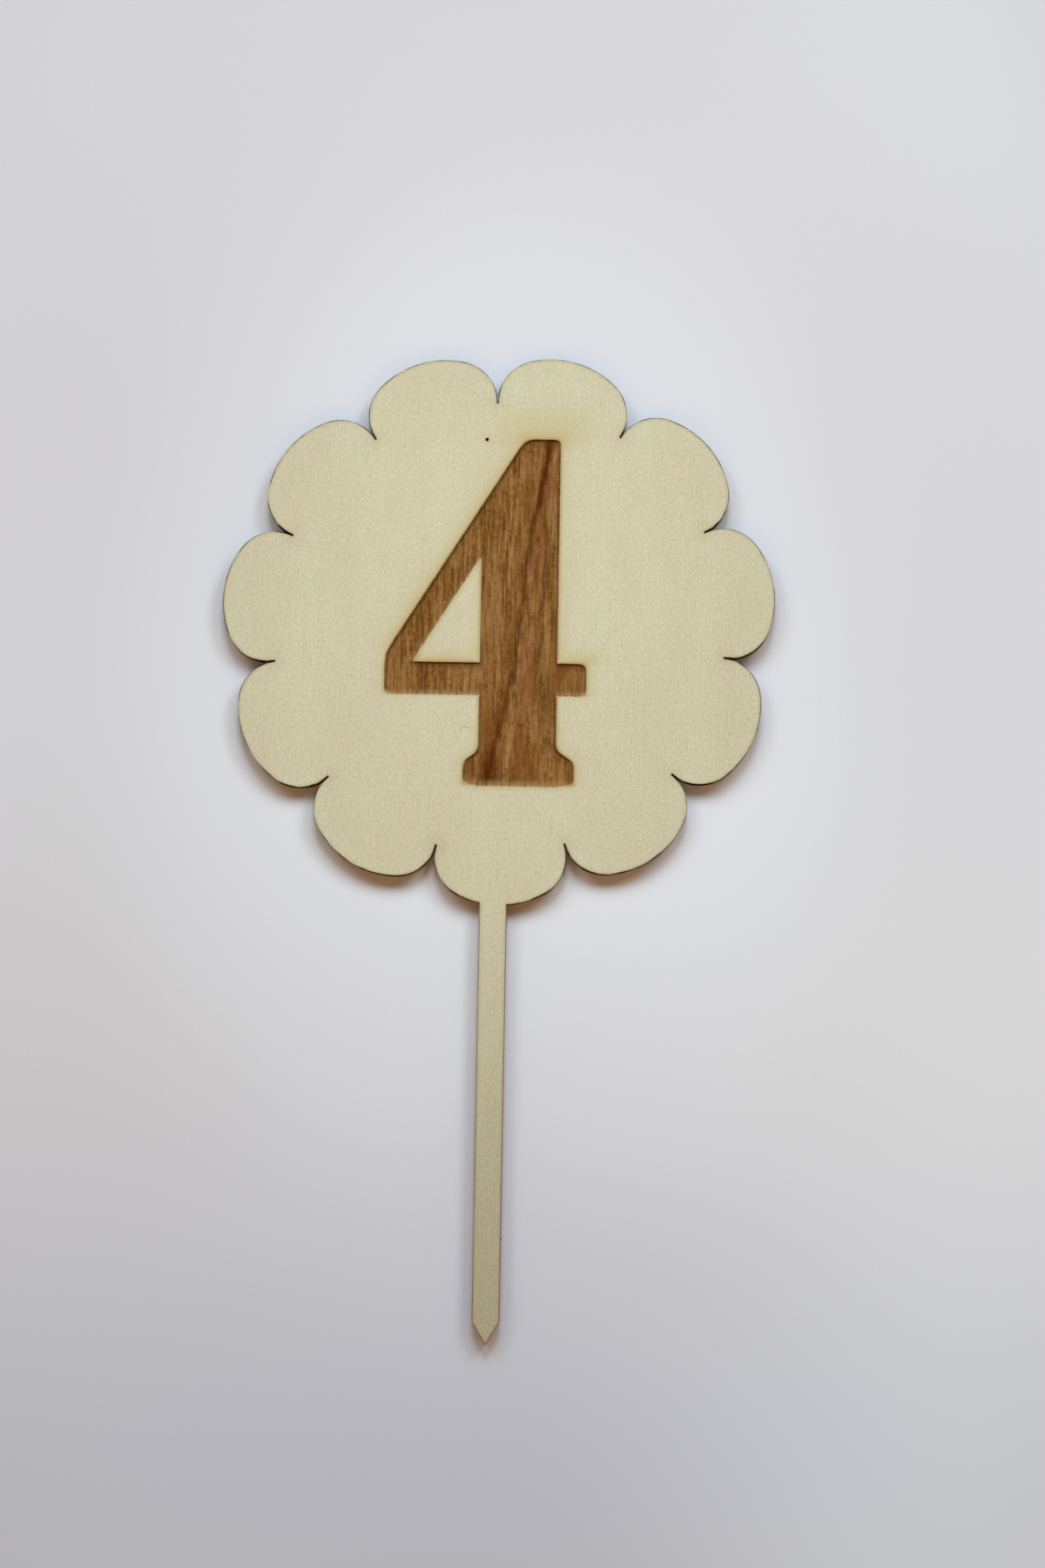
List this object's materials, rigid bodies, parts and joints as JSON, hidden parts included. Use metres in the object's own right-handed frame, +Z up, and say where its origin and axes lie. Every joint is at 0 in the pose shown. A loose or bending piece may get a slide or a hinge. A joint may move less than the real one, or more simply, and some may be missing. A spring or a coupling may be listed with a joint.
{
  "type": "cake topper",
  "caption": "Flat plywood cake topper: scalloped disc with an engraved numeral on a straight pointed pick, laminated from face veneers glued to a core.",
  "frame": {"origin": "where the pick leaves the disc, on the pick's axis and halfway through the sheet's thickness", "axes": "+Z up along the pick from its tip towards the disc, +Y out of the plain back face, so the engraved numeral faces -Y, and +X to the right as the numeral is read"},
  "size_m": [0.0993, 0.003, 0.1768],
  "materials": {
    "face_veneer": "sanded bare pale veneer with an upright grain, engraved brown and charred along its cut edge",
    "core_veneer": "bare veneer with its grain lying across the faces' grain, charred on its cut edge",
    "glue": "hardened adhesive film, burned dark on its cut edge"
  },
  "bodies": {
    "root": {"front_face_ply": "face_veneer", "front_glue_line": "glue", "core_ply": "core_veneer", "back_glue_line": "glue", "back_face_ply": "face_veneer"}
  },
  "joints": []
}
